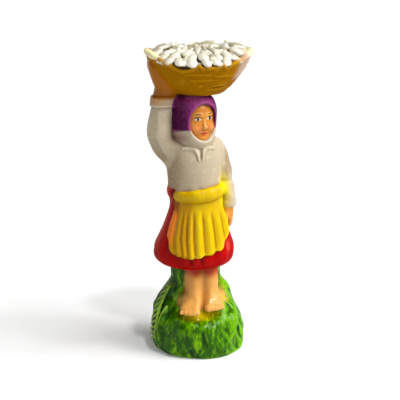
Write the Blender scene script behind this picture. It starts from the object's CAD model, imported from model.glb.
"""Scene of a glazed ceramic fishwife figurine: a barefoot woman on a grassy mound with a basket
of fish on the head. The whole figure is modelled as one lump of clay: each solid of the frame
has a distance field here, neighbouring fields are blended as slip blends real clay, and the
skin of the sum is drawn once and split into one closed piece for each solid. Lengths are
millimetres up to the meshes, +Z is up and the front faces -Y. Right and left are the figure's."""

from itertools import permutations, product

import bpy
import numpy as np
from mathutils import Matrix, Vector
from numpy import clip, cos, exp, maximum, minimum, pi, radians, sin, sqrt


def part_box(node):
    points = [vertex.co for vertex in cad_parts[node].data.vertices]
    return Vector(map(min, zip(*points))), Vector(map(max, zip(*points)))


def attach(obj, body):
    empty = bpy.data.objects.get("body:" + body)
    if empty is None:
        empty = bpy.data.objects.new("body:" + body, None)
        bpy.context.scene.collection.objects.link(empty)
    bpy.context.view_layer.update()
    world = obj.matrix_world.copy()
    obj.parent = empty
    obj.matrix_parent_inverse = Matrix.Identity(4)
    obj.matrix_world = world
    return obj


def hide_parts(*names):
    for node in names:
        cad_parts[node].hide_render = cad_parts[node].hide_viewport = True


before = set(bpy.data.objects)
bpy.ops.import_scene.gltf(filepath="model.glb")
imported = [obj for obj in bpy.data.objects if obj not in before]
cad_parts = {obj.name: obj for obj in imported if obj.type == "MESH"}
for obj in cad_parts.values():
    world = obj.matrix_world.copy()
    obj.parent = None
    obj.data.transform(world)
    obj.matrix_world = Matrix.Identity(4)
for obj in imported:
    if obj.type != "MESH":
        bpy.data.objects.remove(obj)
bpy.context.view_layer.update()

MM = 0.001
OVERHANG = 1.0  # the figure's own middle line is this far to the right of the frame's
REACH = 2.4  # how far outside its solid's box a field is worked out
FRY_ROOM = 2.2  # how much further the small fish reach
FAR = 9  # the field where no solid is near
FINE, COARSE = 0.2, 0.32  # spacing of the grid at the face and elsewhere


def span(node):
    """Lowest and highest corner of a solid, in millimetres about the figure's own middle line."""
    low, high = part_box(node)
    shift = np.array([OVERHANG, 0, 0])
    return np.array(low) / MM + shift, np.array(high) / MM + shift


# Levels, from the frame
HEM, WAIST = span("skirt")[0][2], span("skirt")[1][2]
SHOULDER = span("torso")[1][2]
CHIN = SHOULDER - 4.4
HEAD_HEIGHT = 20.2
CROWN = CHIN + HEAD_HEIGHT
BASKET_HEIGHT = 12.6
RIM = CROWN + BASKET_HEIGHT
BAND_MIDDLE = WAIST + 4.0
LEDGE = 17.2
RIGHT, LEFT = -1, 1
BOTH = (RIGHT, LEFT)
FINGERS = (-1.5, -0.5, 0.5, 1.5)
SIDEWAYS, FORWARD, UP = (1, 0, 0), (0, -1, 0), (0, 0, 1)

# Sizes that several shapes share
MOUND_W, MOUND_D = 17.6, 16.6
TUFT_ROWS, TUFT_SPACING = 7, 14.0
COLUMN_W, COLUMN_D, COLUMN_BACK = 9.5, 7.2, 2.4
HEM_W, HEM_D, WAIST_W, WAIST_D, HIP_SHIFT = 15.7, 14.2, 9.9, 8.7, -1.0
TORSO_W, TORSO_D = 10.2, 8.8
LEGS_MIDDLE = 1.5
HEAD_W, HEAD_D, HEAD_SHIFT, HEAD_TURN = 7.3, 7.9, -1.2, radians(25)
CLOTH = 1.4  # outside of the scarf over the head
RIM_W, RIM_D, BOTTOM_W, BOTTOM_D, BASKET_SHIFT = 19.0, 15.6, 8.2, 7.2, 1.2
EAR, EAR_RISE, BASKET_DEPTH = 1.3, 3.8, 6.6
RAISED_WRIST = (-12.5, -0.8, CROWN - 2.4)
RAISED_CUFF = (RAISED_WRIST[0] + 0.3, RAISED_WRIST[1], RAISED_WRIST[2] - 0.3)
HANGING_WRIST = (12.2, -1.6, WAIST - 1.6)


# Fields: numbers that are negative inside the clay, in millimetres from its skin
def ease(low, high, value):
    t = clip((value - low) / (high - low), 0, 1)
    return t * t * (3 - 2 * t)


def mix(a, b, t):
    return a + (b - a) * t


def add(a, b, k):
    """The union of two fields, with a fillet of size k."""
    if k <= 0:
        return minimum(a, b)
    h = clip(k - np.abs(a - b), 0, None) / k
    return minimum(a, b) - h * h * k / 4


def keep(a, b, k=0.3):
    """The part of a that is inside b."""
    return -add(-a, -b, k)


def take(a, b, k=0.3):
    """a with b cut away."""
    return keep(a, -b, k)


def spline(rows, steps=8):
    """Points of a smooth line through rows of numbers."""
    rows = np.array(rows, float)
    ends = np.vstack([rows[:1], rows, rows[-1:]])
    made = []
    for a, b, c, d in zip(ends, ends[1:], ends[2:], ends[3:]):
        for f in np.arange(steps) / steps:
            bend = f * (3 * b - a - 3 * c + d)
            made.append(b + 0.5 * f * ((c - a) + f * ((2 * a - 5 * b + 4 * c - d) + bend)))
    return np.array(made + [rows[-1]])


def look_up(table, column, z):
    return np.interp(np.ravel(z), table[:, 0], table[:, column]).reshape(np.shape(z)).astype(np.float32)


def oval(x, y, rx, ry):
    """Distance to an oval in the level plane."""
    u, v = x / rx, y / ry
    rho = sqrt(u * u + v * v) + 1e-5
    return (rho - 1) * rho / sqrt((u / rx) ** 2 + (v / ry) ** 2 + 1e-9)


def stack(x, y, z, rows, soft=0.8):
    """A body of stacked ovals from rows of height, half-width, half-depth, middle x and y."""
    table = spline(rows)
    rx, ry, cx, cy = (look_up(table, n, z) for n in (1, 2, 3, 4))
    rise = np.gradient(table[:, 1], table[:, 0] + 1e-6 * np.arange(len(table)))
    lean = look_up(np.array([table[:, 0], rise]).T, 1, z)
    side = oval(x - cx, y - cy, rx, ry) / sqrt(1 + lean**2)
    return keep(side, maximum(table[0, 0] - z, z - table[-1, 0]), soft)


def around(x, y, cx=0.0, cy=0.0):
    """Angle from the front, growing towards the left hand."""
    return np.arctan2(x - cx, cy - y)


def limb(x, y, z, rows, across=SIDEWAYS, steps=4):
    """A round limb along rows of x, y, z, half-width and half-thickness, its width along across."""
    line = spline(rows, steps)
    best = None
    for a, b in zip(line, line[1:]):
        way = b[:3] - a[:3]
        length = float(way @ way) + 1e-9
        px, py, pz = x - a[0], y - a[1], z - a[2]
        t = clip((px * way[0] + py * way[1] + pz * way[2]) / length, 0, 1)
        px, py, pz = px - t * way[0], py - t * way[1], pz - t * way[2]
        wide = a[3] + t * (b[3] - a[3])
        thick = a[4] + t * (b[4] - a[4])
        along = way / sqrt(length)
        side = np.array(across, float) - along * float(np.dot(across, along))
        side /= np.linalg.norm(side)
        w = px * side[0] + py * side[1] + pz * side[2]
        rest = clip(px * px + py * py + pz * pz - w * w, 0, None)
        u = w * w / wide**2 + rest / thick**2 + 1e-9
        slope = sqrt((w * w / wide**4 + rest / thick**4) / u) + 1e-9
        near = (sqrt(u) - 1) / slope
        best = near if best is None else minimum(best, near)
    return best


def ball(x, y, z, middle, radii):
    u = [(p - m) / r for p, m, r in zip((x, y, z), middle, radii)]
    rho = sqrt(u[0] ** 2 + u[1] ** 2 + u[2] ** 2) + 1e-5
    slope = sqrt(sum((n / r) ** 2 for n, r in zip(u, radii))) / rho + 1e-6
    return (rho - 1) / slope


def ripple(x, y, z, size, seed, waves=7):
    """Smooth, even noise between about -1 and 1."""
    rng = np.random.default_rng(seed)
    total = 0.0
    for _ in range(waves):
        way = rng.normal(size=3)
        way *= 2 * pi / size * rng.uniform(0.7, 1.3) / np.linalg.norm(way)
        total = total + sin(way[0] * x + way[1] * y + way[2] * z + rng.uniform(0, 2 * pi))
    return total / sqrt(waves) * 0.8


def lerp(grid, places):
    """The value of a grid at fractional places along its axes, each of which runs round in a ring."""
    lows = [np.floor(place).astype(int) for place in places]
    total = 0.0
    for bits in product((0, 1), repeat=len(places)):
        weight = 1.0
        for place, low, bit in zip(places, lows, bits):
            weight = weight * (place - low if bit else 1 - place + low)
        total = total + weight * grid[tuple((low + bit) % n for low, bit, n in zip(lows, bits, grid.shape))]
    return total


# Mound with its grass, frond, legs and feet
MOUND_ROWS = [
    (0, 0.92 * MOUND_W, 0.92 * MOUND_D, 0, 0), (2.5, 0.98 * MOUND_W, 0.98 * MOUND_D, 0, 0),
    (7.5, MOUND_W, MOUND_D, 0, 0), (12.8, 0.96 * MOUND_W, 0.95 * MOUND_D, 0, 0),
    (16.8, 0.9 * MOUND_W, 0.79 * MOUND_D, 0, 1.3), (22, 0.74 * MOUND_W, 0.6 * MOUND_D, 0, COLUMN_BACK),
    (27.2, 1.05 * COLUMN_W, 1.14 * COLUMN_D, 0, COLUMN_BACK),
    (31.5, 1.02 * COLUMN_W, 1.05 * COLUMN_D, 0, COLUMN_BACK),
    (HEM + 2.4, 0.96 * COLUMN_W, 0.96 * COLUMN_D, 0, COLUMN_BACK),
]
GRASS_TOP, GRASS_RADIUS, GRASS_COLUMNS, GRASS_ROWS = HEM + 3, 15, 720, 220


def grass_relief():
    """Pointed blades on the mound's unrolled side, over height and angle."""
    rng = np.random.default_rng(11)
    angles = (np.arange(GRASS_COLUMNS) + 0.5) / GRASS_COLUMNS * 2 * pi - pi
    heights = np.linspace(0, GRASS_TOP, GRASS_ROWS)[:, None]
    relief = np.zeros((GRASS_ROWS, GRASS_COLUMNS))
    for _ in range(120):
        height = rng.uniform(-1, HEM)
        small = 0.7 if height > LEDGE + 4 else 1
        angle, tilt = rng.uniform(-pi, pi), rng.normal(0.15, 0.4)
        length, width, lift = (small * rng.uniform(*ends) for ends in ((2.2, 4.8), (0.5, 1.2), (0.1, 0.4)))
        across = ((angles - angle + pi) % (2 * pi) - pi) * GRASS_RADIUS
        up = heights - height
        s = (up * cos(tilt) + across * sin(tilt)) / length
        t = (across * cos(tilt) - up * sin(tilt)) / width
        room = clip(1 - s * s, 0.001, None)
        rise = lift * sqrt(clip(1 - (t / room) ** 2, 0, None)) * room**0.35
        relief = maximum(relief, np.where(np.abs(s) < 1, rise, 0))
    for axis in (0, 1) * 5:
        relief = (np.roll(relief, 1, axis) + 2 * relief + np.roll(relief, -1, axis)) / 4
    return relief


GRASS = grass_relief()


def mound(x, y, z):
    angle = around(x, y)
    body = stack(x, y, z, MOUND_ROWS, 1.2)
    slump = 1.5 * clip(cos(angle - radians(60)), 0, None) ** 2 * (1 - ease(0, 13.6, z))
    fade = ease(-0.5, 2.2, z) * (1 - ease(0.85 * HEM, HEM + 0.4, z))
    turn = 2 * pi * z / TUFT_SPACING
    lumps = sin(TUFT_ROWS * angle + 1.3 * sin(0.5 * turn)) * cos(turn + 2 * sin(3 * angle))
    ridges = 0.5 * sin(5 * angle + 0.5 * turn)
    broad = 0.5 * (lumps + ridges) * ease(31, 25, z)
    strokes = 0.2 * ripple(x + 0.4 * z, y, 0.45 * z, 4.6, 21)
    pits = 0.15 * ease(0.5, 1.0, ripple(x, y, z, 5, 23))
    places = (clip(z / GRASS_TOP, 0, 1) * (GRASS_ROWS - 1), (angle + pi) / (2 * pi) * GRASS_COLUMNS - 0.5)
    blades = lerp(GRASS, places).astype(np.float32) - 0.1
    body = body - slump - fade * (broad + (blades + strokes - pits) * ease(HEM, LEDGE + 4, z))
    room = stack(x, y, z, [
        (-3, 11.8, 11.1, 0, 0), (4.2, 11.8, 11.1, 0, 0), (9, 10.6, 10, 0, 0), (11.5, 7.3, 6.9, 0, 0),
    ], 2.0)
    return take(keep(body, -z, 0.5), room, 0.6)


def leg(side):
    x0, y0 = LEGS_MIDDLE + side * 3.0, -6.4
    sole = LEDGE + (2.0 if side == LEFT else 0.6)
    ankle, top = 4.2, HEM - sole
    splay = side * (1.1 if side == LEFT else 3.0)

    def field(x, y, z):
        x, y, z = x - x0, y - y0, z - sole
        shin = limb(x, y, z, [
            (0, 1.6, top + 2.2, 3.05, 3.1), (0, 0.4, mix(ankle, top, 0.62), 3.1, 3.15),
            (0, -0.3, mix(ankle, top, 0.25), 2.9, 2.8), (0.1 * splay, -0.6, ankle, 2.65, 2.6),
            (0.15 * splay, -0.6, ankle - 2.4, 2.7, 2.7),
        ])
        foot = limb(x, y, z, [
            (0, 1.8, 2.3, 2.7, 2.2), (0.15 * splay, -0.9, 2.7, 2.9, 2.6), (0.6 * splay, -3.8, 1.9, 3.3, 2.0),
            (splay, -5.7, 0.8, 3.5, 1.3),
        ])
        sinew = limb(x, y, z, [
            (-0.3 * side, -2.6, ankle + 1.5, 0.5, 0.5), (-0.6 * side, -4.4, 3.2, 0.6, 0.6),
            (splay - 2.4 * side, -6.5, 1.4, 0.6, 0.6),
        ], steps=3)
        body = add(add(shin, foot, 2.8), sinew, 2.0)
        for n in range(5):
            across = n / 4 - 0.5
            r = 1.05 * (1.25 if n == 0 else 1 - 0.08 * n)
            tip = (splay + side * 5.9 * across, -5.7 - 1.2 * cos(1.9 * (across + 0.12)), 0.5)
            body = add(body, ball(x, y, z, tip, (r, 1.4 * r, 1.05 * r)), 0.9)
        return body

    return field


def frond(x, y, z):
    table = spline(MOUND_ROWS)

    def on_mound(turn, height, out):
        rx, ry, back = (float(look_up(table, n, height)) for n in (1, 2, 4))
        return np.array([sin(radians(turn)) * (rx + out), back - cos(radians(turn)) * (ry + out), height])

    total = None
    for n in range(10):
        share = n / 9
        foot = on_mound(mix(-70, -66, share), mix(6.5, 26, share), 0.45)
        tip = on_mound(mix(-91, -82, share), foot[2] - mix(3.6, 2.8, share), 0.3)
        leaf = limb(x, y, z, [(*foot, 0.45, 0.7), (*mix(foot, tip, 0.5), 0.66, 0.8), (*tip, 0.4, 0.5)], UP, 2)
        total = leaf if total is None else add(total, leaf, 0.15)
        if n:
            total = add(total, limb(x, y, z, [(*last, 0.5, 0.6), (*foot, 0.5, 0.6)], UP, 1), 0.3)
        last = foot
    blade = [on_mound(mix(-60, -55, t), mix(6, 18, t), -0.2) for t in (0, 0.35, 0.7, 1)]
    rows = [(*place, 2.1 * wide, 0.6) for place, wide in zip(blade, (0.4, 1, 0.9, 0.3))]
    return add(total, limb(x, y, z, rows, steps=2), 0.5)


# Skirt, apron and the rolls at the waist
SKIRT_FLARE = [
    (0, 0.36), (0.04, 0.66), (0.1, 0.89), (0.19, 1), (0.29, 0.95), (0.4, 0.76), (0.55, 0.5),
    (0.74, 0.23), (0.88, 0.06), (1, 0), (1.07, -0.02),
]
SKIRT_ROWS = [
    (HEM + share * (WAIST - HEM), mix(WAIST_W, HEM_W, flare), mix(WAIST_D, HEM_D, flare),
     HIP_SHIFT * min(max(flare, 0), 1), 0) for share, flare in SKIRT_FLARE
]


def skirt(x, y, z):
    angle = around(x, y, HIP_SHIFT)
    share = (z - HEM) / (WAIST - HEM)
    turn = 16 * (angle + 0.09 * sin(2 * angle + 1) + 0.05 * sin(5 * angle))
    hang = ease(0.02, 0.2, share) * (1 - ease(0.5, 0.98, share))
    fold = (0.5 - 0.5 * cos(turn)) ** 1.4
    body = stack(x, y, z, SKIRT_ROWS, 1.0) + 0.85 * hang * fold * (0.75 + 0.25 * sin(3 * angle + 2))
    _, wide, deep, *_ = SKIRT_ROWS[0]
    room = stack(x, y, z, [
        (HEM + rise, wide - wall, deep - wall, -0.5, 0) for rise, wall in ((-2, 1.1), (1.8, 1.3), (2.6, 2))
    ], 0.4)
    return take(body, room, 0.4)


# The apron's grooves, as shares of its half-width
GROOVES = np.array([-1.12, -0.93, -0.74, -0.52, -0.35, -0.12, 0.17, 0.47, 0.78, 1.12])
APRON_SPREAD = np.array([  # height above the hem, degrees to the right and to the left of the front
    (0, 45, 52), (8, 48, 56), (13, 58, 62), (17, 59, 64), (22, 58, 66), (26, 57, 68),
])
APRON_EDGE = np.array([  # degrees from the front, height above the hem
    (-70, 14.5), (-55, 12.2), (-51, 11.0), (-46, 8.4), (-35, 6.9), (-23, 6.4), (-10, 5.9), (0, 6.3),
    (9.6, 6.9), (20, 7.4), (34, 8.3), (47, 10.4), (55, 12.6), (70, 16),
])


def fluting(across):
    """0 in a groove and 1 on the crest between two."""
    k = clip(np.searchsorted(GROOVES, np.ravel(across)) - 1, 0, len(GROOVES) - 2).reshape(np.shape(across))
    low, high = GROOVES[k], GROOVES[k + 1]
    u = clip((across - low) / (high - low), 0, 1) * 2 - 1
    return clip(1 - u * u, 0, None) ** 1.4 * clip(4 * (high - low), 0.5, 1)


def apron(x, y, z):
    angle = around(x, y, HIP_SHIFT)
    share = (z - HEM) / (WAIST - HEM)
    right, left = (radians(look_up(APRON_SPREAD, n, z - HEM)) for n in (1, 2))
    spread = np.where(angle < 0, right, left)
    across = angle / spread
    crest = fluting(across)
    edge = HEM + look_up(APRON_EDGE, 1, np.degrees(angle)) + 0.15 - 0.3 * crest
    hang = ease(0.98, 0.7, share) * mix(0.55, 1, ease(-0.75, -0.45, across))
    body = stack(x, y, z, SKIRT_ROWS, 1.0) - 0.9 - 0.95 * hang * crest
    body = keep(body, (np.abs(angle) - spread) * 12, 0.8)
    body = keep(body, edge - z, 0.9)
    return take(body, skirt(x, y, z), 0.05)


def waist_roll(start, end, height, thickness, droop, tilt):
    rows = []
    for n in range(11):
        share = n / 10
        angle = radians(mix(start, end, share))
        swell = mix(0.6, 1, sin(pi * share))
        level = BAND_MIDDLE + tilt * sin(angle) - droop * sin(pi * share)
        place = (sin(angle) * WAIST_W, -cos(angle) * (WAIST_D + 0.15 * thickness), level)
        rows.append((*place, swell * height / 2, swell * thickness / 2))
    return rows


BAND_ROWS = waist_roll(-57, 104, 5.2, 3.7, 0.9, 1.3)
ROLL_ROWS = waist_roll(108, 299, 5.8, 3.1, 0.2, 0.6)


def band(x, y, z):
    angle = around(x, y)
    crease = 0.07 * sin(11 * angle + 0.8 * sin(0.9 * z)) + 0.1 * ripple(x, y, 1.6 * z, 6, 5)
    return limb(x, y, z, BAND_ROWS, UP, 2) + crease


def roll(x, y, z):
    return limb(x, y, z, ROLL_ROWS, UP, 2)


# Blouse, arms and hands
TORSO_ROWS = [
    (WAIST + h * (SHOULDER - WAIST), w * TORSO_W, d * TORSO_D, 0.6 * HIP_SHIFT, 0) for h, w, d in (
        (-0.04, 0.9, 0.88), (0.18, 0.96, 0.97), (0.36, 1, 1.02), (0.54, 1.03, 1.03), (0.7, 1.03, 0.98),
        (0.82, 1, 0.88), (0.9, 0.93, 0.76), (0.96, 0.82, 0.66), (1, 0.66, 0.56))
]


def torso(x, y, z):
    body = stack(x, y, z, TORSO_ROWS, 1.6)
    angle = around(x, y, -0.6)
    low = ease(WAIST + 9, WAIST + 2, z)
    folds = 0.3 * sin(9 * angle + 0.25 * z + 1.3 * sin(2 * angle)) * low
    opening = 0.45 * exp(-((x - 0.6) / 0.3) ** 2) * ease(CHIN - 3.6, CHIN - 2, z) * (y < 0)
    bead = ball(x, y, z, (-1.7, -8.9, 72.2), (0.32, 0.32, 0.32))
    return add(body - folds + opening, bead, 0.3)


LAPELS = {  # sideways place, drop below the chin, half-width
    RIGHT: ((-5.8, 0.3, 0.5), (-3.6, 0.0, 0.75), (-1.6, 0.5, 0.8), (-0.6, 2.0, 0.55), (-0.1, 4.0, 0.3)),
    LEFT: ((5.4, 0.4, 0.45), (3.8, 0.0, 0.7), (2.4, 0.3, 0.75), (1.7, 1.7, 0.5), (1.3, 3.8, 0.3)),
}


def lapel(side):
    table = spline(TORSO_ROWS)
    rows = []
    for place, drop, width in LAPELS[side]:
        z = CHIN + 1.0 - drop
        rx, ry = (float(look_up(table, n, z)) for n in (1, 2))
        rows.append((place, -ry * sqrt(1 - ((place + 0.6) / rx) ** 2) - 0.05, z, width, 0.55))
    return lambda x, y, z: limb(x, y, z, rows, (side, 0, -1))


def raised_sleeve(x, y, z):
    wx, wy, wz = RAISED_WRIST
    elbow, pit, r = SHOULDER + 0.2, -0.75 * TORSO_W, 3.7
    rows = [
        (-0.25 * TORSO_W, 0.2, elbow - 11, r, 1.15 * r), (pit, 0, elbow - 8.2, 1.1 * r, 1.22 * r),
        (mix(pit, -15.4, 0.62), -0.4, elbow - 3.8, 1.06 * r, 1.16 * r),
        (-13.9, -0.5, elbow + 1.2, 1.08 * r, 1.24 * r), (-13.2, -0.6, mix(elbow, wz, 0.5), 1.06 * r, 1.2 * r),
        (wx, wy, wz - 3, r, 1.1 * r), (wx + 0.2, wy, wz - 0.4, 0.8 * r, 0.84 * r),
    ]
    crease = 0.22 * ripple(x, y, z * 0.6, 6.5, 3) * ease(9, 2, np.abs(z - elbow))
    ridge = look_up(np.array([
        (60, 0), (elbow - 11.3, -8.6), (elbow - 5.6, -12.4), (elbow + 0.2, -15.3), (CROWN - 2.3, -14.4),
    ]), 1, z)
    flat = -0.71 * (x - ridge) - 0.71 * (y + 4.1)
    return keep(limb(x, y, z, rows, FORWARD) + crease, flat / 1.08, 0.2)


def hanging_sleeve(x, y, z):
    hx, hy, hz = HANGING_WRIST
    r = 3.2
    rows = [
        (0.42 * TORSO_W, 0.6, SHOULDER - 3.6, 0.8 * r, 0.9 * r),
        (0.72 * TORSO_W, 0.5, SHOULDER - 5, 1.05 * r, 1.15 * r),
        (mix(TORSO_W, hx, -0.3), 0.3, mix(SHOULDER, hz, 0.42), 1.02 * r, 1.1 * r),
        (mix(TORSO_W, hx, 0.5), -0.4, mix(SHOULDER, hz, 0.72), 0.92 * r, r),
        (hx, hy, hz + 1.2, 0.86 * r, 0.92 * r),
    ]
    bend = mix(SHOULDER, hz, 0.66)
    crease = 0.3 * exp(-(((z - bend) / 0.7) ** 2)) + 0.15 * ripple(x, y, z, 5, 8)
    return limb(x, y, z, rows) + crease


def cuff(place, way, radius, soft=0.7):
    x0, y0, z0 = place

    def field(x, y, z):
        wide = radius + 0.25 + 0.04 * way * (z - z0)
        return keep(oval(x - x0, y - y0, wide, wide), np.abs(z - z0) - 1.15, soft)

    return field


def raised_hand(x, y, z):
    x, y, z = x - RAISED_WRIST[0], y - RAISED_WRIST[1], z - CROWN
    palm = limb(x, y, z, [
        (0, 0, -4.8, 3.1, 3.1), (0, 0.1, -1.2, 3.6, 3.5), (0.2, 0.4, 0.8, 3.9, 3.4), (0.6, 0.5, 3, 3.9, 3.1),
        (-0.8, 0.3, 5.6, 4.1, 2.4),
    ], FORWARD)
    for place in FINGERS:
        finger = limb(x, y, z, [
            (-1.3, 2.05 * place - 0.2, 4.6, 1.15, 2.1), (-2.7, 2.1 * place - 0.2, 8, 1.15, 1.6),
            (-3.5, 2.1 * place - 0.2, 10.6 - 0.35 * place * place, 1, 1.1),
        ], FORWARD, 3)
        palm = add(palm, finger, 0.9)
    return palm


def hanging_hand(x, y, z):
    x, y, z = (p - wrist for p, wrist in zip((x, y, z), HANGING_WRIST))
    body = limb(x, y, z, [
        (0, 0, 2.4, 1.9, 2.1), (-0.7, -0.5, -2.1, 2.5, 2.5), (-1.2, -1, -5, 2.7, 2.9),
        (-1.3, -1.1, -6.8, 2.2, 2.6),
    ])
    for place in FINGERS:
        finger = limb(x, y, z, [
            (0.5, 1.25 * place - 1, -5.4, 0.8, 0.8), (-0.2, 1.3 * place - 1, -7.8, 0.8, 0.8),
            (-1.4, 1.25 * place - 1, -8.1, 0.75, 0.75),
        ], steps=3)
        body = add(body, finger, 0.2)
    thumb = [(-0.6, -2, -2.2, 0.9, 0.9), (-1.3, -3.4, -4.4, 0.9, 0.9), (-1.6, -3.6, -6.2, 0.8, 0.8)]
    return add(body, limb(x, y, z, thumb, steps=3), 0.35)


# Head, in its own frame with the face towards -Y and the chin at height 0
HEAD_ROWS = [
    (h * HEAD_HEIGHT, w * HEAD_W, d * HEAD_D, 0, y) for h, w, d, y in (
        (0, 0.36, 0.36, -2.4), (0.05, 0.57, 0.56, -2.0), (0.16, 0.77, 0.78, -1.2), (0.32, 0.91, 0.91, -0.5),
        (0.5, 0.98, 1, 0), (0.68, 1, 1.02, 0.2), (0.84, 0.86, 0.88, 0.2), (0.95, 0.56, 0.58, 0.1),
        (1, 0.3, 0.3, 0))
]
FACE_FOOT = 4.2  # the kerchief covers what is below the chin
EYES, EYE_OUT, NOSE_END, MOUTH = 11.8, 2.55, 8.4, 6.5


def in_head(x, y, z):
    c, s = cos(HEAD_TURN), sin(HEAD_TURN)
    px, py = x - HEAD_SHIFT, y
    return px * c + py * s, py * c - px * s, z - CHIN


def skull(x, y, z):
    x, y, z = in_head(x, y, z)
    front = -HEAD_D
    body = stack(x, y, z, HEAD_ROWS, 1.5)
    for side in BOTH:
        eye = EYE_OUT * side
        body = add(body, ball(x, y, z, (2.8 * side, -5.9, NOSE_END), (2.0, 1.8, 1.8)), 1.5)
        body = take(body, ball(x, y, z, (eye, -8.5, EYES + 0.05), (1.5, 1.15, 0.85)), 0.7)
        body = add(body, ball(x, y, z, (eye, -6.35, EYES), (1.2, 1.25, 0.8)), 0.15)
        lid = ball(x, y, z, (eye, -6.3, EYES + 0.1), (1.35, 1.4, 0.92))
        body = add(body, keep(lid, (EYES + 0.22 - 0.12 * np.abs(x - eye)) - z, 0.1), 0.12)
        lower = ball(x, y, z, (eye, -6.35, EYES - 0.2), (1.3, 1.35, 0.85))
        body = add(body, keep(lower, z - (EYES - 0.52), 0.1), 0.15)
        body = add(body, limb(x, y, z, [
            (0.8 * side, -7.55, EYES + 1.5, 0.4, 0.42), (2.4 * side, -7.3, EYES + 1.85, 0.42, 0.42),
            (4.0 * side, -6.3, EYES + 1.45, 0.32, 0.32),
        ], UP, 3), 0.8)
    nose = limb(x, y, z, [
        (0, front + 0.8, EYES + 0.9, 0.6, 0.6), (0, front + 0.25, mix(EYES, NOSE_END, 0.5), 0.66, 0.72),
        (0, front - 0.3, NOSE_END + 0.45, 0.92, 0.85),
    ])
    for side in BOTH:
        nose = add(nose, ball(x, y, z, (0.9 * side, front + 0.5, NOSE_END + 0.3), (0.55, 0.7, 0.5)), 0.4)
    body = add(body, nose, 0.6)
    body = add(body, ball(x, y, z, (0, 0.78 * front, FACE_FOOT + 0.6), (2.0, 1.7, 1.3)), 1.0)
    lips = add(
        ball(x, y, z, (0, 0.92 * front, MOUTH + 0.3), (1.45, 0.85, 0.4)),
        ball(x, y, z, (0, 0.92 * front, MOUTH - 0.38), (1.25, 0.85, 0.45)), 0.1)
    return add(body, lips, 0.3)


def head(x, y, z):
    neck = limb(x, y, z, [(HEAD_SHIFT, 0.5, SHOULDER - 4.6, 4.1, 4.1), (HEAD_SHIFT, 0.5, CHIN + 5, 4.4, 4.4)])
    return add(skull(x, y, z), neck, 1.0)


def hood(x, y, z):
    hx, hy, hz = in_head(x, y, z)
    angle = around(hx, hy)
    rows = [
        (height + CLOTH * (height > 10) * (height / HEAD_HEIGHT), wide + CLOTH, deep + CLOTH, 0, middle)
        for height, wide, deep, _, middle in HEAD_ROWS
    ]
    body = stack(hx, hy, hz, rows, 1.5)
    body = body - 0.5 * ease(0.3, -1, cos(angle)) * (1 - ease(0, 20, hz))
    drape = 0.28 * sin(7 * angle + 0.35 * hz + 1.2 * sin(2 * angle))
    drape = drape * ease(-0.2, -0.9, cos(angle + 0.5))
    nape = limb(x, y, z, [
        (HEAD_SHIFT - 0.3, 1.2, SHOULDER - 4.6, 6.6, 6.3), (HEAD_SHIFT - 0.3, 1.2, CHIN + 6, 7.4, 7.4),
    ])
    nape = keep(nape, (SHOULDER - 5.2) - z, 0.8)
    body = add(body - drape, nape, 1.4)
    face = ball(hx, hy, hz, (0, -HEAD_D - 0.6, FACE_FOOT + 6.4), (6.0, 5.2, 6.9))
    return take(take(body, face, 0.5), skull(x, y, z), 0.05)


def scarf_line(x, y, z):
    """Height above the edge between the dyed scarf and the plain kerchief."""
    x, y, z = in_head(x, y, z)
    return 0.242 * y + 0.97 * (z - 6.2) + 0.25 * sin(1.1 * x + 0.4)


def scarf(x, y, z):
    return maximum(hood(x, y, z), -scarf_line(x, y, z))


def kerchief(x, y, z):
    return maximum(hood(x, y, z), scarf_line(x, y, z))


# Basket of fish, with its floor at height 0
BASKET_FLARE = [(0, 0), (0.12, 0.16), (0.3, 0.39), (0.5, 0.6), (0.7, 0.78), (0.88, 0.92), (1, 1), (1.3, 1.1)]
COURSES, STAKES, SCALLOPS = 7, 15, 28
RIM_LINE = np.array([  # degrees from the front, height above an even rim
    (-180, 0.2), (-150, -0.3), (-120, 0.2), (-90, 0), (-60, -0.2), (-46, -0.7), (-36, -1.5), (-31, -1.9),
    (-24, -1.5), (-16, -0.8), (-8.4, 0.4), (-3, -0.6), (6, -0.4), (16, -0.8), (25, 0.3), (31.8, -1.2),
    (40, 0), (51, 0.1), (69, 0.2), (90, -0.5), (120, -0.3), (150, 0.3), (180, 0.2),
])
WITHIES = [  # the rods that stand out at the front: height, first and last degree
    (8.5, -34, 14), (6.7, -28, 30), (5.4, 10, 48), (4.2, -14, 2), (4.1, 14, 52), (2.8, 4, 58), (7.6, 12, 56),
]


def basket_wall(x, y, z):
    """Distance to the bowl's smooth outside, the angle, the share of the height and the rim's rise."""
    x, z = x - BASKET_SHIFT, z - CROWN
    angle = around(x, y)
    side = np.abs(sin(angle))
    swoop = EAR_RISE * side**5
    share = z / (BASKET_HEIGHT + swoop)
    for _ in range(3):
        miss = BASKET_HEIGHT * share + swoop * share**3 - z
        share = share - miss / (BASKET_HEIGHT + 3 * swoop * share**2)
    share = clip(share, -0.1, 1.3)
    flare = look_up(spline(BASKET_FLARE), 1, share)
    rx = mix(BOTTOM_W, RIM_W, flare) + EAR * side**9 * clip(share, 0, 1.2) ** 2
    ry = mix(BOTTOM_D, RIM_D, flare)
    lean = 10.8 / BASKET_HEIGHT * mix(1.3, 0.45, clip(share, 0, 1))
    return oval(x, y, rx, ry) / sqrt(1 + lean**2), angle, share, swoop


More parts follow.
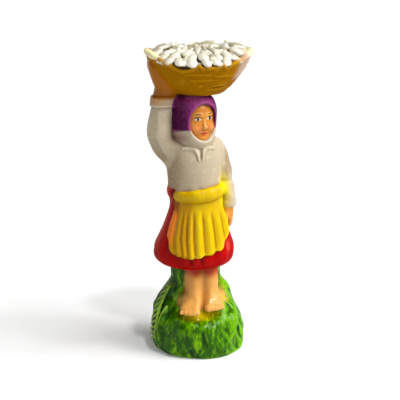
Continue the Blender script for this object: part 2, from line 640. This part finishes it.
def basket(x, y, z):
    wall, angle, share, swoop = basket_wall(x, y, z)
    height = z - CROWN
    turned = np.degrees(angle)
    turn = 2 * pi * COURSES * share + 0.5 * sin(3 * angle + 1) + 0.35 * sin(7 * angle)
    over = cos(STAKES * angle + 0.9 * sin(4 * angle) + pi * np.round(turn / (2 * pi)))
    worn = clip(0.35 + 0.65 * ripple(x, y, z, 11, 31), 0, 1)
    plain = ease(12, 30, turned) + ease(-80, -100, turned)
    relief = (0.2 + 0.12 * over) * (0.5 - 0.5 * cos(turn)) * worn * plain
    for level, first, last in WITHIES:
        line = height - level - 0.22 * sin(3 * angle + 1.7 * level) - 0.5 * swoop * share**3
        rod = exp(-((line / 0.34) ** 2)) * ease(first, first + 7, turned) * ease(last, last - 7, turned)
        relief = relief + 0.3 * rod
    relief = relief * ease(0.05, 0.2, share) * ease(0.86, 0.74, share) + 0.12 * ripple(x, y, z, 7, 33)
    body = wall - relief
    top = BASKET_HEIGHT + swoop - 0.9 + look_up(RIM_LINE, 1, turned)
    body = keep(body, height - top, 0.9)
    body = keep(body, -height, 0.9)
    hollow = keep(wall + 1.9, BASKET_HEIGHT - BASKET_DEPTH - height, 0.8)
    body = take(body, hollow, 0.5)
    scallop = np.abs(sin(0.5 * SCALLOPS * angle + 0.7 * sin(3 * angle)))
    scallop = scallop * mix(0.3, 1, 0.5 + 0.5 * sin(5 * angle + 0.7))
    bead = 0.65 + 0.6 * np.abs(sin(angle)) ** 3 + 0.2 * scallop
    rim = sqrt((wall + bead - 0.15 - 0.3 * scallop) ** 2 + (height - top) ** 2) - bead
    return add(body, rim, 0.8)


FISH_LENGTH, FISH_W, FISH_H = 10.4, 2.3, 1.5
FISH_ROWS = [
    (0, 0.25, 0.25), (0.08, 0.6, 0.6), (0.2, 0.92, 0.9), (0.36, 1, 1), (0.58, 0.88, 0.88),
    (0.76, 0.5, 0.52), (0.87, 0.34, 0.5), (1, 0.4, 1),
]


def fish(place, heading, pitch, bend, size=1.0, plain=False):
    c, s = cos(heading), sin(heading)
    cp, sp = cos(pitch), sin(pitch)
    length, wide, high = size * FISH_LENGTH, size * FISH_W, size * FISH_H
    if plain:
        wide, high = 1.3 * wide, 1.2 * high
    px, py, pz = place[0] + BASKET_SHIFT, place[1], place[2] + CROWN
    rows = [
        ((0.45 - t) * length, bend * size * (t - 0.4) ** 2, 0, w * wide, h * high) for t, w, h in FISH_ROWS
    ]

    def field(x, y, z):
        dx, dy, dz = x - px, y - py, z - pz
        dx, dy = dx * c + dy * s, dy * c - dx * s
        dx, dz = dx * cp - dz * sp, dz * cp + dx * sp
        body = limb(dx, dy, dz, rows, (0, 1, 0), 1 if plain else 3)
        if plain:
            return body
        for side in BOTH:
            eye = (0.36 * length, side * 0.62 * wide, 0.55 * high)
            body = take(body, ball(dx, dy, dz, eye, (0.42, 0.42, 0.42)), 0.25)
        gill = np.abs(dx - (0.26 * length + 0.12 * dz**2))
        body = body + 0.3 * exp(-((gill / 0.3) ** 2))
        fin = [(0.12 * length, 0, 0.8 * high, 0.3, 0.8), (-0.18 * length, 0, 0.95 * high, 0.3, 0.7)]
        return add(body, limb(dx, dy, dz, fin, (0, 1, 0), 2), 0.4)

    return field


def outwards(angle):
    return np.arctan2(-cos(angle), sin(angle))


def shoal():
    """Place, heading, pitch and bend of each fish: heads on the rim, a ring on those, two on top."""
    top = BASKET_HEIGHT + 1.6
    made = []

    def ring(count, turn, inset, height, pitch):
        for n in range(count):
            angle = 2 * pi * (n + turn) / count
            level = height + 0.25 * sin(3 * n) - 0.4 * (1 - max(0, cos(angle)) ** 2)
            made.append((
                (sin(angle) * (RIM_W - inset), -cos(angle) * (RIM_D - inset), level),
                outwards(angle) + 0.45 * sin(2.4 * n + turn), pitch, 5 * sin(1.7 * n),
            ))

    ring(11, 0.35, 4.6, top - 0.3, 0.22)
    ring(5, 0.1, 9, top + 1.1, 0.12)
    for n in range(2):
        made.append(((5 * (n - 0.5) + 1, 1 - 2 * n, top + 2.5 + 0.7 * n), 0.5 + 2.4 * n, 0, 4))
    return made


def fry():
    """Middles and fields of small fish that fill the gaps between the large ones."""
    rng = np.random.default_rng(5)
    made = []
    for count, part, height in ((24, 0.85, 0.7), (17, 0.72, 2.0), (10, 0.5, 3.1), (4, 0.22, 3.8)):
        for n in range(count):
            angle = 2 * pi * (n + rng.uniform(-0.25, 0.25)) / count
            lift = 0.7 * EAR_RISE * abs(sin(angle)) ** 5 * (part > 0.7)
            level = BASKET_HEIGHT + height + lift + rng.uniform(-0.2, 0.2)
            place = (sin(angle) * RIM_W * part, -cos(angle) * RIM_D * part, level)
            pitch = rng.uniform(0.2, 0.55) if part > 0.8 else rng.uniform(0.1, 0.4)
            heading, bend = outwards(angle) + rng.normal(0, 0.3), rng.normal(0, 1.5)
            made.append((place, fish(place, heading, pitch, bend, rng.uniform(0.56, 0.7), True)))
    return made


FRY = fry()


def fish_bed(x, y, z):
    wall = basket_wall(x, y, z)[0]
    height = z - CROWN
    inner = ((x - BASKET_SHIFT) / RIM_W) ** 2 + (y / RIM_D) ** 2
    body = keep(wall + 1.8, height - BASKET_HEIGHT - 1.6 * (1 - inner), 1.0)
    body = keep(body, BASKET_HEIGHT - BASKET_DEPTH - height, 0.5)
    x, y, z = np.broadcast_arrays(x, y, z)
    for (cx, cy, cz), one in FRY:
        close = (x - cx - BASKET_SHIFT) ** 2 + (y - cy) ** 2 + (z - cz - CROWN) ** 2 < 25
        if close.any():
            body[close] = add(body[close], one(x[close], y[close], z[close]), 0.3)
    return body


CLAY = [  # solid, paint, field, fillet towards what is there already
    ("grass_mound", "grass", mound, 0), ("right_leg", "skin", leg(RIGHT), 1.9),
    ("left_leg", "skin", leg(LEFT), 1.6), ("fern_frond", "grass", frond, 0.3),
    ("skirt", "red", skirt, 0.4), ("apron", "yellow", apron, 0.35),
    ("apron_band", "yellow", band, 0.6), ("skirt_roll", "red", roll, 0.7), ("torso", "white", torso, 0.6),
    ("right_lapel", "white", lapel(RIGHT), 0.7), ("left_lapel", "white", lapel(LEFT), 0.7),
    ("right_sleeve", "white", raised_sleeve, 2.2), ("left_sleeve", "white", hanging_sleeve, 0.7),
    ("left_hand", "skin", hanging_hand, 0.6), ("left_cuff", "white", cuff(HANGING_WRIST, -1, 2.75), 0.6),
    ("head", "skin", head, 0.5), ("headscarf", "purple", scarf, 0.4), ("kerchief", "white", kerchief, 0.4),
    ("basket", "ochre", basket, 0.5), ("right_hand", "skin", raised_hand, 4.6),
    ("right_cuff", "white", cuff(RAISED_CUFF, 1, 3.3, 1.6), 2.6), ("fish_bed", "silver", fish_bed, 0.3),
] + [(f"fish_{n + 1:02d}", "silver", fish(*one), 0.25) for n, one in enumerate(shoal())]


# The grid, finer where the face is
def ticks(low, high, fine_low, fine_high):
    made = [low]
    while made[-1] < high:
        made.append(made[-1] + (FINE if fine_low <= made[-1] < fine_high else COARSE))
    return np.array(made, np.float32)


spans = np.array([span(entry[0]) for entry in CLAY])
FACE_BOX = ((-7, 8), (-11, 0), (CHIN - 2, CROWN))
TICKS = [
    ticks(spans[:, 0, n].min() - REACH, spans[:, 1, n].max() + REACH, *FACE_BOX[n]) for n in range(3)
]


def window(node):
    low, high = span(node)
    reach = REACH + (FRY_ROOM if node == "fish_bed" else 0)
    cut = []
    for n in range(3):
        a, b = np.searchsorted(TICKS[n], (low[n] - reach, high[n] + reach))
        cut.append(slice(max(a - 1, 0), min(b + 1, len(TICKS[n]))))
    x, y, z = (t[c] for t, c in zip(TICKS, cut))
    return tuple(cut), x[:, None, None], y[None, :, None], z[None, None, :]


def pile_up():
    """The field of the whole figure and the number of the nearest solid, on the grid."""
    shape = [len(t) for t in TICKS]
    whole, nearest = np.full(shape, FAR, np.float32), np.full(shape, FAR, np.float32)
    owner = np.zeros(shape, np.int8)
    for n, (node, _, field, fillet) in enumerate(CLAY):
        cut, x, y, z = window(node)
        value = field(x, y, z).astype(np.float32)
        whole[cut] = add(whole[cut], value, fillet)
        closer = value < nearest[cut]
        nearest[cut] = np.where(closer, value, nearest[cut])
        owner[cut] = np.where(closer, n + 1, owner[cut])
    return whole, np.where(whole < 0, owner, 0)


def draw_skin(whole, owner):
    """Points and four-sided faces between cells of different owners, each face with both owners."""
    shape = [n - 1 for n in whole.shape]
    size = int(np.prod(shape))
    sums = np.zeros((2, 3, size))
    counts = np.zeros((2, size))
    faces, sides = [], []
    flat = lambda i: (i[0] * shape[1] + i[1]) * shape[2] + i[2]
    for axis in range(3):
        low = [slice(None)] * 3
        high = [slice(None)] * 3
        low[axis], high[axis] = slice(None, -1), slice(1, None)
        low, high = tuple(low), tuple(high)
        edge = np.array(np.nonzero(owner[low] != owner[high]))
        a, b = owner[low][tuple(edge)], owner[high][tuple(edge)]
        fa, fb = whole[low][tuple(edge)], whole[high][tuple(edge)]
        skin = (a == 0) | (b == 0)
        t = np.where(skin, clip(fa / (fa - fb + 1e-12), 0.02, 0.98), 0.5)
        point = [TICKS[n][edge[n]].astype(float) for n in range(3)]
        step = TICKS[axis][edge[axis] + 1] - TICKS[axis][edge[axis]]
        point[axis] = point[axis] + t * step
        u, v = (axis + 1) % 3, (axis + 2) % 3
        quad = []
        for du, dv in ((-1, -1), (0, -1), (0, 0), (-1, 0)):
            cell = edge.copy()
            cell[u] += du
            cell[v] += dv
            cell = flat(cell)
            quad.append(cell)
            for kind, chosen in ((0, skin), (1, ~skin)):
                where = cell[chosen]
                counts[kind] += np.bincount(where, minlength=size)
                for n in range(3):
                    sums[kind, n] += np.bincount(where, point[n][chosen], size)
        faces.append(np.array(quad).T)
        sides.append(np.array([a, b]).T)
    faces, sides = np.vstack(faces), np.vstack(sides)
    used = np.unique(faces)
    kind = np.where(counts[0][used] > 0, 0, 1)
    points = np.array([sums[kind, n, used] for n in range(3)]).T / counts[kind, used][:, None]
    return points, np.searchsorted(used, faces), sides, kind == 0


def level_out(values, faces, share):
    """Each point's value moved towards the mean of its neighbours'."""
    rows = values.reshape(len(values), -1)
    total, number = np.zeros_like(rows), np.zeros(len(rows))
    for n in range(4):
        for p, q in permutations((faces[:, n], faces[:, (n + 1) % 4])):
            number += np.bincount(p, minlength=len(rows))
            for c in range(rows.shape[1]):
                total[:, c] += np.bincount(p, rows[q, c], len(rows))
    mean = (total / maximum(number, 1)[:, None]).reshape(values.shape)
    return values + share * (mean - values)


def sample(grid, points):
    """The value of a grid at points, between its ticks."""
    return lerp(grid, [np.interp(p, ticks, np.arange(len(ticks))) for p, ticks in zip(points.T, TICKS)])


whole, owner = pile_up()
points, faces, sides, on_skin = draw_skin(whole, owner)
outer = faces[(sides == 0).any(1)]
points = np.where(on_skin[:, None], level_out(points, outer, 0.4), points)
slopes = np.gradient(whole, *TICKS)
normals = np.array([sample(s, points) for s in slopes]).T
normals /= np.linalg.norm(normals, axis=1)[:, None] + 1e-9
curving = sum(np.gradient(s, TICKS[n], axis=n) for n, s in enumerate(slopes))
hollowness = clip(-sample(curving, points), -1.6, 1.6)
del slopes, curving
for _ in range(5):
    hollowness = level_out(hollowness, outer, 0.7)

# Each paint: its tone where it is thick, where it is thin and where it has run into a hollow, how
# far it pools there, its roughness, the weight of its clear coat and the strength of its bumps
PAINTS = {
    "grass": ((46, 98, 0), (128, 190, 0), (10, 32, 0), 0.7, 0.25, 0.3, 0.35),
    "skin": ((204, 128, 44), (236, 182, 98), (134, 60, 8), 0.4, 0.36, 0.45, 0.15),
    "red": ((170, 0, 0), (200, 20, 14), (80, 0, 0), 0.7, 0.25, 0.14, 0.12),
    "yellow": ((208, 170, 0), (236, 202, 0), (154, 96, 0), 0.75, 0.25, 0.34, 0.12),
    "white": ((190, 175, 148), (214, 204, 182), (134, 110, 82), 0.35, 0.5, 0.02, 0.14),
    "purple": ((104, 24, 84), (164, 78, 142), (44, 0, 36), 0.6, 0.3, 0.12, 0.2),
    "ochre": ((162, 108, 0), (200, 146, 14), (88, 50, 0), 0.8, 0.36, 0.05, 0.35),
    "silver": ((240, 234, 212), (254, 252, 240), (112, 98, 66), 0.9, 0.3, 0.45, 0.2),
}
FAR_PAINT = 3.0  # further than this from a paint, the distance to it no longer counts

near = {paint: np.full(len(points), FAR_PAINT) for paint in PAINTS}
near_frond = np.full(len(points), FAR_PAINT)
for node, paint, field, _ in CLAY:
    low, high = span(node)
    room = REACH + FRY_ROOM
    inside = np.all((points > low - room) & (points < high + room), axis=1)
    if inside.any():
        value = field(*points[inside].T.astype(np.float32))
        near[paint][inside] = minimum(near[paint][inside], value)
        if node == "fern_frond":
            near_frond[inside] = value
px, py, pz = points.T


# Washes of thin paint over others
def spot(cx, cy, cz, rx, ry, rz):
    return exp(-(((px - cx) / rx) ** 2 + ((py - cy) / ry) ** 2 + ((pz - cz) / rz) ** 2))


def on(paint, reach=0.5, full=0.1):
    """1 on a paint's own pieces, and 0 from reach on."""
    return ease(reach, full, near[paint])


def between(value, *edges):
    """1 between two edges, each given as where its fade starts and where it ends."""
    return ease(*edges[:2], value) * ease(*edges[2:], value)


hip_turn, load_turn, mound_turn = (
    np.degrees(around(px, py, shift)) for shift in (HIP_SHIFT, BASKET_SHIFT, 0)
)
below_rim = pz - RIM - EAR_RISE * np.abs(sin(radians(load_turn))) ** 5
leaf = clip(1 - ((load_turn + 76) / 15) ** 2, 0, None)
on_apron = on("yellow", 1.2, 0.2)
WASHES = {  # tone and amount
    "red": ((180, 30, 20), maximum(
        0.9 * ease(HEM - 6.5, HEM - 0.5, pz - 0.6 * sin(1.3 * px)) * ease(HEM + 4, HEM + 3, pz)
        * on("skin", 1.0, 0.2),
        on("white", 0.5, 0.2) * ease(BAND_MIDDLE + 0.5, BAND_MIDDLE - 0.5, pz) * ease(9.5, 8.5, px))),
    "amber": ((180, 124, 0), on_apron * ease(8, -20, hip_turn) * mix(0.5, 0.8, ease(WAIST + 2, WAIST, pz))),
    "salmon": ((212, 82, 60), on("red") * maximum(
        0.75 * between(hip_turn, -62, -84, -130, -100) * ease(HEM + 2, HEM + 7, pz),
        0.8 * spot(11, -7, 42.5, 1.6, 4, 3.2))),
    "rust": ((150, 66, 8), 0.85 * on_apron * between(hip_turn, -34, -46, -90, -70)
             * between(pz, HEM + 17, HEM + 21, WAIST + 2, WAIST)),
    "orange": ((242, 134, 22), on_apron * between(hip_turn, -36, -48, -90, -70)
               * between(pz, HEM + 6.5, HEM + 11, WAIST, WAIST - 5)),
    "yellow": ((238, 214, 6), maximum(
        spot(10, -2, 63, 3.2, 9, 9.5) * ease(5.6, 8.2, px) * ease(2, 0, py),
        maximum(0.5 * spot(10.5, -2, 26, 2.6, 5, 6), 0.9 * spot(0, -12.5, LEDGE - 0.5, 9, 5, 2.2)))),
    "wine": ((96, 2, 4), exp(-(((near["yellow"] - 0.6) / 0.7) ** 2)) * ease(-30, -50, hip_turn) * on("red")
             * ease(HEM + 4, HEM + 8, pz)),
    "purple": ((128, 66, 84), 0.8 * spot(-6.5, -3, CHIN + 4.6, 5.5, 8, 3.0)),
    "peach": ((226, 164, 84), maximum(
        0.85 * on("skin", 2.6, 0.2) * between(pz, LEDGE - 1, LEDGE + 2, HEM, HEM - 6),
        maximum(spot(9.6, -5, 21.4, 3.6, 5, 4.4), 0.8 * spot(-6.4, -6, 20.2, 2.8, 5, 3.8))
        * ease(LEDGE, LEDGE + 2.5, pz))),
    "mist": ((210, 180, 164), 0.9 * between(load_turn, 38, 66, 94, 80) * on("ochre")
             * ease(CROWN + 3, CROWN + 8, pz)),
    "cream": ((254, 242, 190), on("ochre", 0.8, 0.3) * maximum(
        ease(0.02, 0.2, leaf) * ease(-1.0 - 1.3 * leaf, -0.6 - 1.0 * leaf, below_rim),
        between(load_turn, 60, 68, 100, 90) * ease(-1.6, -0.7, below_rim))),
    "ochre": ((172, 102, 0), ease(CROWN - 2.6, CROWN - 0.2, pz) * on("skin", 2.6, 1.4) * ease(-5, -8, px)
              * ease(0.3, 0.8, near["purple"])),
    "lustre": ((178, 168, 134), ease(0.35, 0.8, normals[:, 2]) * on("silver", 0.4)
               * mix(0.35, 1, ease(-9, 1, py))),
    "umber": ((150, 118, 84), on("white", 0.3) * maximum(
        0.65 * ease(0.1, -0.8, normals[:, 0]) * mix(1, 0.1, ease(SHOULDER - 7, SHOULDER, pz)),
        0.7 * ease(9.5, 11, px) * between(pz, CROWN, SHOULDER, WAIST + 4, WAIST + 12))),
    "chalk": ((228, 214, 188), 0.5 * on("white", 0.3) * ease(SHOULDER - 4, SHOULDER + 2, pz)
              * ease(-8, -10, px)),
    "rose": ((180, 86, 148), 0.6 * on("purple", 0.3) * ease(CROWN - 8, CROWN - 3, pz) * ease(-2, -6, py)),
    "plum": ((50, 0, 38), 0.7 * on("purple", 0.3) * ease(0.2, -0.7, normals[:, 0])),
    "fresh": ((124, 194, 4), 0.7 * between(mound_turn, 5, 50, 130, 100) * on("grass")
              * ease(0.5, -0.3, hollowness)),
    "veil": ((160, 118, 120), 0.8 * on("white", 1.7, 0.2) * on("purple", 0.3) * ease(-2, -5, px)
             * ease(CHIN + 9, CHIN + 7, pz)),
    "lime": ((140, 180, 60), mix(0.45, 0.95, ease(-60, -66, mound_turn)) * ease(0.5, 0.1, near_frond)
             * ease(0.3, -0.2, hollowness)),
}


# Materials
class Value:
    """An output of a node, which plain sums turn into further nodes."""

    def __init__(self, tree, socket):
        self.tree, self.socket = tree, socket

    def __add__(self, other):
        return self.tree.math("ADD", self, other)

    def __sub__(self, other):
        return self.tree.math("SUBTRACT", self, other)

    def __rsub__(self, other):
        return self.tree.math("SUBTRACT", other, self)

    def __mul__(self, other):
        return self.tree.math("MULTIPLY", self, other)

    def __truediv__(self, other):
        return self.tree.math("DIVIDE", self, other)


class Tree:
    """A node tree under construction."""

    def __init__(self, tree):
        self.tree = tree
        tree.nodes.clear()

    def nodes(self, kind, outs, inputs=(), **settings):
        """The outputs of a new node, with values or plain numbers on its inputs."""
        made = self.tree.nodes.new(kind)
        for name, value in settings.items():
            setattr(made, name, value)
        for key, value in dict(inputs).items():
            if isinstance(value, Value):
                self.tree.links.new(value.socket, made.inputs[key])
            else:
                made.inputs[key].default_value = value
        return [Value(self, made.outputs[out]) for out in outs]

    def node(self, kind, out=0, inputs=(), **settings):
        return self.nodes(kind, (out,), inputs, **settings)[0]

    def attribute(self, name):
        return self.node("ShaderNodeAttribute", "Fac", attribute_name=name)

    def math(self, operation, a, b=0.0, clamp=False):
        return self.node("ShaderNodeMath", 0, {0: a, 1: b}, operation=operation, use_clamp=clamp)

    def most(self, a, b):
        return self.math("MAXIMUM", a, b)

    def step(self, low, high, value):
        inputs = {0: value, 1: low, 2: high, 3: 0.0, 4: 1.0}
        return self.node("ShaderNodeMapRange", 0, inputs, interpolation_type="SMOOTHSTEP")

    def stretch(self, where, *factors):
        return self.node("ShaderNodeVectorMath", 0, {0: where, 1: factors}, operation="MULTIPLY")

    def noise(self, scale, detail, rough=0.5, where=None):
        inputs = {"Scale": scale, "Detail": detail, "Roughness": rough}
        if where is not None:
            inputs["Vector"] = where
        return self.node("ShaderNodeTexNoise", "Fac", inputs)

    def blend(self, factor, a, b):
        return self.node("ShaderNodeMix", 2, {0: factor, 6: a, 7: b}, data_type="RGBA", clamp_factor=True)

    def surface(self, shader):
        self.nodes("ShaderNodeOutputMaterial", (), {"Surface": shader})


def srgb(*numbers):
    """A colour from display values of 0 to 255."""
    shares = (n / 255 for n in numbers)
    return tuple(c / 12.92 if c <= 0.04045 else ((c + 0.055) / 1.055) ** 2.4 for c in shares) + (1.0,)


# Brush marks on the face: whether it is on both sides, middle x and z, half-width, half-height,
# softness, tone, strength and arch
FACE_MARKS = [
    (True, 3.3, NOSE_END, 2.0, 1.6, 0.8, (214, 112, 66), 0.45, 0),
    (True, EYE_OUT, EYES, 1.25, 0.52, 0.2, (236, 222, 196), 1, 0),
    (True, EYE_OUT, EYES + 0.02, 0.52, 0.55, 0.2, (52, 26, 12), 1, 0),
    (True, EYE_OUT, EYES + 0.62, 1.45, 0.16, 0.35, (48, 24, 12), 0.95, 0.3),
    (True, EYE_OUT, EYES - 0.52, 1.05, 0.08, 0.5, (150, 84, 44), 0.7, -0.2),
    (True, 2.6, EYES + 1.95, 1.6, 0.24, 0.4, (88, 50, 22), 0.85, 0.4),
    (False, 0.0, MOUTH + 0.22, 1.4, 0.36, 0.3, (190, 56, 44), 0.9, 0.15),
    (False, 0.0, MOUTH - 0.34, 1.1, 0.36, 0.3, (200, 70, 54), 0.9, -0.1),
    (False, 0.0, MOUTH - 0.04, 1.35, 0.09, 0.4, (104, 22, 18), 0.9, -0.12),
]


def draw_face(t, where, colour):
    """Blush, eyes, brows and lips brushed on the face, in the head's own frame."""
    x, y, z = t.nodes("ShaderNodeSeparateXYZ", range(3), {0: where})
    east, c, s = x + (OVERHANG - HEAD_SHIFT), cos(HEAD_TURN), sin(HEAD_TURN)
    across, depth, up = east * c + y * s, y * c - east * s, z - CHIN
    side, front = t.math("ABSOLUTE", across), t.step(-4.2, -5.0, depth)
    for both, mark_x, mark_z, wide, high, soft, tone, strength, bow in FACE_MARKS:
        u = ((side if both else across) - mark_x) / wide
        square = u * u
        v = (up + square * bow - mark_z) / high
        reach = t.math("SQRT", square + v * v)
        mark = t.step(1 + soft, 1 - soft, reach) * (front * strength)
        colour = t.blend(mark, colour, srgb(*tone))
    return colour


OUTPUTS = {"Color": "NodeSocketColor", "Roughness": "NodeSocketFloat", "Height": "NodeSocketFloat"}


def paint_group():
    """The painted colour and roughness of any point of the figure, as a node group."""
    group = bpy.data.node_groups.new("painted_glaze", "ShaderNodeTree")
    for name, kind in OUTPUTS.items():
        group.interface.new_socket(name, in_out="OUTPUT", socket_type=kind)
    t = Tree(group)
    where = t.stretch(t.node("ShaderNodeNewGeometry", "Position"), 1 / MM, 1 / MM, 1 / MM)
    cavity = t.attribute("hollowness")
    fine, broad = t.noise(1.6, 4, 0.55, where), t.noise(0.32, 3, 0.5, where)
    streak = t.noise(1.1, 3, 0.6, t.stretch(where, 1.5, 1.5, 0.4))
    sweep = t.noise(0.42, 3, 0.55, t.stretch(where, 1.2, 1.2, 0.5))
    wobble = [t.noise(0.9 + 0.13 * n, 2, 0.5, where) - 0.5 for n in range(3)]
    pools = t.step(0.1, 1.1, cavity + (fine - 0.5) * 0.5)
    crest = t.step(0.15, 0.9, cavity * -1.0)
    thin = t.most(t.step(0.5, 0.72, broad * 0.6 + streak * 0.4) * 0.65, crest * 0.6)
    strokes = sweep * 0.8 + streak * 0.2
    sward = t.most(t.step(0.5, 0.68, strokes) * 0.8, crest * 0.5)
    shaded = t.step(0.48, 0.34, strokes) * 0.7
    total = None
    for n, (paint, (*tones, pooling, roughness, _, _)) in enumerate(PAINTS.items()):
        base, light, deep = (srgb(*tone) for tone in tones)
        if paint == "grass":
            own = t.blend(shaded, t.blend(sward, base, light), deep)
        else:
            own = t.blend(thin, base, light)
        own = t.blend(pools * pooling, own, deep)
        distance = t.attribute("near_" + paint) + wobble[n % 3] * (0.1 if paint == "silver" else 0.5)
        weight = t.math("EXPONENT", distance * -7.0)
        if total is None:
            total, colour, rough = weight, own, roughness
            continue
        total = total + weight
        share = weight / total
        colour = t.blend(share, colour, own)
        rough = (1.0 - share) * rough + share * roughness
    for n, (wash, (tone, _)) in enumerate(WASHES.items()):
        amount = t.attribute("wash_" + wash)
        amount = amount * t.step(0.1, 0.9, amount + wobble[n % 3] * 0.7)
        colour = t.blend(amount, colour, srgb(*tone))
    colour = draw_face(t, where, colour)
    rough = t.math("ADD", rough, (fine - 0.5) * 0.16, True)
    values = (colour, rough, fine * 0.35 + streak * 0.65)
    t.nodes("NodeGroupOutput", (), dict(zip(OUTPUTS, values)))
    return group


PAINTED = paint_group()
BUMP_HEIGHT = 0.4 * MM


def new_material(name):
    material = bpy.data.materials.new(name)
    material.use_nodes = True
    return material, Tree(material.node_tree)


def glaze(paint):
    material, t = new_material("glaze_" + paint)
    coat, bump = PAINTS[paint][-2:]
    colour, rough, height = t.nodes("ShaderNodeGroup", OUTPUTS, node_tree=PAINTED)
    t.surface(t.node("ShaderNodeBsdfPrincipled", 0, {
        "Base Color": colour, "Roughness": rough,
        "Normal": t.node("ShaderNodeBump", 0, {"Strength": bump, "Distance": BUMP_HEIGHT, "Height": height}),
        "Metallic": 0.1 if paint == "silver" else 0.0, "Coat Weight": coat, "Coat Roughness": 0.07,
        "Coat IOR": 1.45, "Specular IOR Level": 0.0,
    }))
    return material


MATERIALS = {paint: glaze(paint) for paint in PAINTS}
VALUES = {"hollowness": hollowness}  # what the glaze reads at each point
VALUES.update({"near_" + name: value for name, value in near.items()})
VALUES.update({"wash_" + name: value for name, (_, value) in WASHES.items()})


def put(name, data):
    made = bpy.data.objects.new(name, data)
    bpy.context.scene.collection.objects.link(made)
    return made


def make_piece(number, node, paint):
    corners = np.vstack([faces[sides[:, 0] == number], faces[sides[:, 1] == number][:, ::-1]])
    used, local = np.unique(corners, return_inverse=True)
    local = local.reshape(-1, 4)
    mesh = bpy.data.meshes.new(node + "_clay")
    mesh.vertices.add(len(used))
    mesh.vertices.foreach_set("co", ((points[used] - (OVERHANG, 0, 0)) * MM).astype(np.float32).ravel())
    mesh.loops.add(local.size)
    mesh.loops.foreach_set("vertex_index", local.astype(np.int32).ravel())
    mesh.polygons.add(len(local))
    mesh.polygons.foreach_set("loop_start", np.arange(0, local.size, 4, dtype=np.int32))
    mesh.update(calc_edges=True)
    mesh.polygons.foreach_set("use_smooth", np.ones(len(local), bool))
    mesh.normals_split_custom_set_from_vertices(normals[used].tolist())
    for name, value in VALUES.items():
        mesh.attributes.new(name, "FLOAT", "POINT").data.foreach_set("value", value[used].astype(np.float32))
    piece = put(node + "_glazed", mesh)
    mesh.materials.append(MATERIALS[paint])
    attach(piece, "root")
    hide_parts(node)


for index, (node, paint, _, _) in enumerate(CLAY):
    make_piece(index + 1, node, paint)


# Floor and backdrop: one wide round floor and a low wall all round it
def pale(name, near_level, far_level, glow):
    """Plain matt paint, a little darker away from the figure, which the camera sees near white."""
    material, t = new_material(name)
    away = t.node("ShaderNodeSeparateXYZ", "Y", {0: t.node("ShaderNodeNewGeometry", "Position")})
    shade = t.blend(t.step(0.07, 0.14, away), (near_level,) * 3 + (1,), (far_level,) * 3 + (1,))
    shade = t.blend(t.noise(30.0, 2) * 0.02, shade, (0.5, 0.5, 0.5, 1))
    rays = t.nodes("ShaderNodeLightPath", ("Is Camera Ray", "Is Glossy Ray", "Is Transmission Ray"))
    seen = t.most(rays[0], t.most(rays[1], rays[2]))
    t.surface(t.node("ShaderNodeAddShader", 0, {
        0: t.node("ShaderNodeBsdfDiffuse", 0, {"Color": shade}),
        1: t.node("ShaderNodeEmission", 0, {"Color": (1, 1, 1, 1), "Strength": seen * glow}),
    }))
    return material


def stage_piece(name, points, polygons, material):
    mesh = bpy.data.meshes.new(name)
    mesh.from_pydata(points, [], polygons)
    mesh.materials.append(material)
    made = put(name, mesh)
    return made


ROOM, WALL, ROOM_SIDES = 2.5, 1.2, 64
corners = range(ROOM_SIDES)
circle = [(ROOM * sin(2 * pi * n / ROOM_SIDES), -ROOM * cos(2 * pi * n / ROOM_SIDES)) for n in corners]
stage_piece("floor", [(x, y, 0) for x, y in circle], [tuple(corners)], pale("floor_paint", 0.8, 0.73, 0.18))
wall_points = [(x, y, z) for z in (0, WALL) for x, y in circle]
wall_faces = [(n, (n + 1) % ROOM_SIDES, (n + 1) % ROOM_SIDES + ROOM_SIDES, n + ROOM_SIDES) for n in corners]
wall = stage_piece("backdrop", wall_points, wall_faces, pale("backdrop_paint", 0.2, 0.2, 0.8))
wall.visible_shadow = False

# Light and camera
world = bpy.data.worlds.new("studio")
bpy.context.scene.world = world
world.use_nodes = True
world.node_tree.nodes["Background"].inputs["Color"].default_value = (1, 0.93, 0.84, 1)
world.node_tree.nodes["Background"].inputs["Strength"].default_value = 0.07

SUNS = [  # name, bearing from the front towards +X, height, level that it lights a facing white to, spread
    ("key", 68, 40, 1.0, 46), ("front", 10, 46, 0.12, 40), ("glint", 24, 64, 0.31, 6),
    ("side_glint", 66, 40, 0.12, 5),
]
for name, bearing, height, level, spread in SUNS:
    light = bpy.data.lights.new(name, "SUN")
    light.energy, light.angle = pi * level, radians(spread)
    b, h = radians(bearing), radians(height)
    lamp = put(name, light)
    lamp.location = way = Vector((sin(b) * cos(h), -cos(b) * cos(h), sin(h)))
    lamp.rotation_euler = (-way).to_track_quat("-Z", "Y").to_euler()

LENS, SENSOR = 90.0, 36.0
TARGET = Vector((0.44, -0.13, 58.8)) * MM
STAND = Vector((-50.4, -361.9, 163.5)) * MM
camera = put("camera", bpy.data.cameras.new("camera"))
camera.data.lens, camera.data.sensor_width, camera.data.clip_start = LENS, SENSOR, 0.01
camera.location = STAND
camera.rotation_euler = (TARGET - STAND).to_track_quat("-Z", "Y").to_euler()
bpy.context.scene.camera = camera
bpy.context.scene.view_settings.view_transform = "Standard"
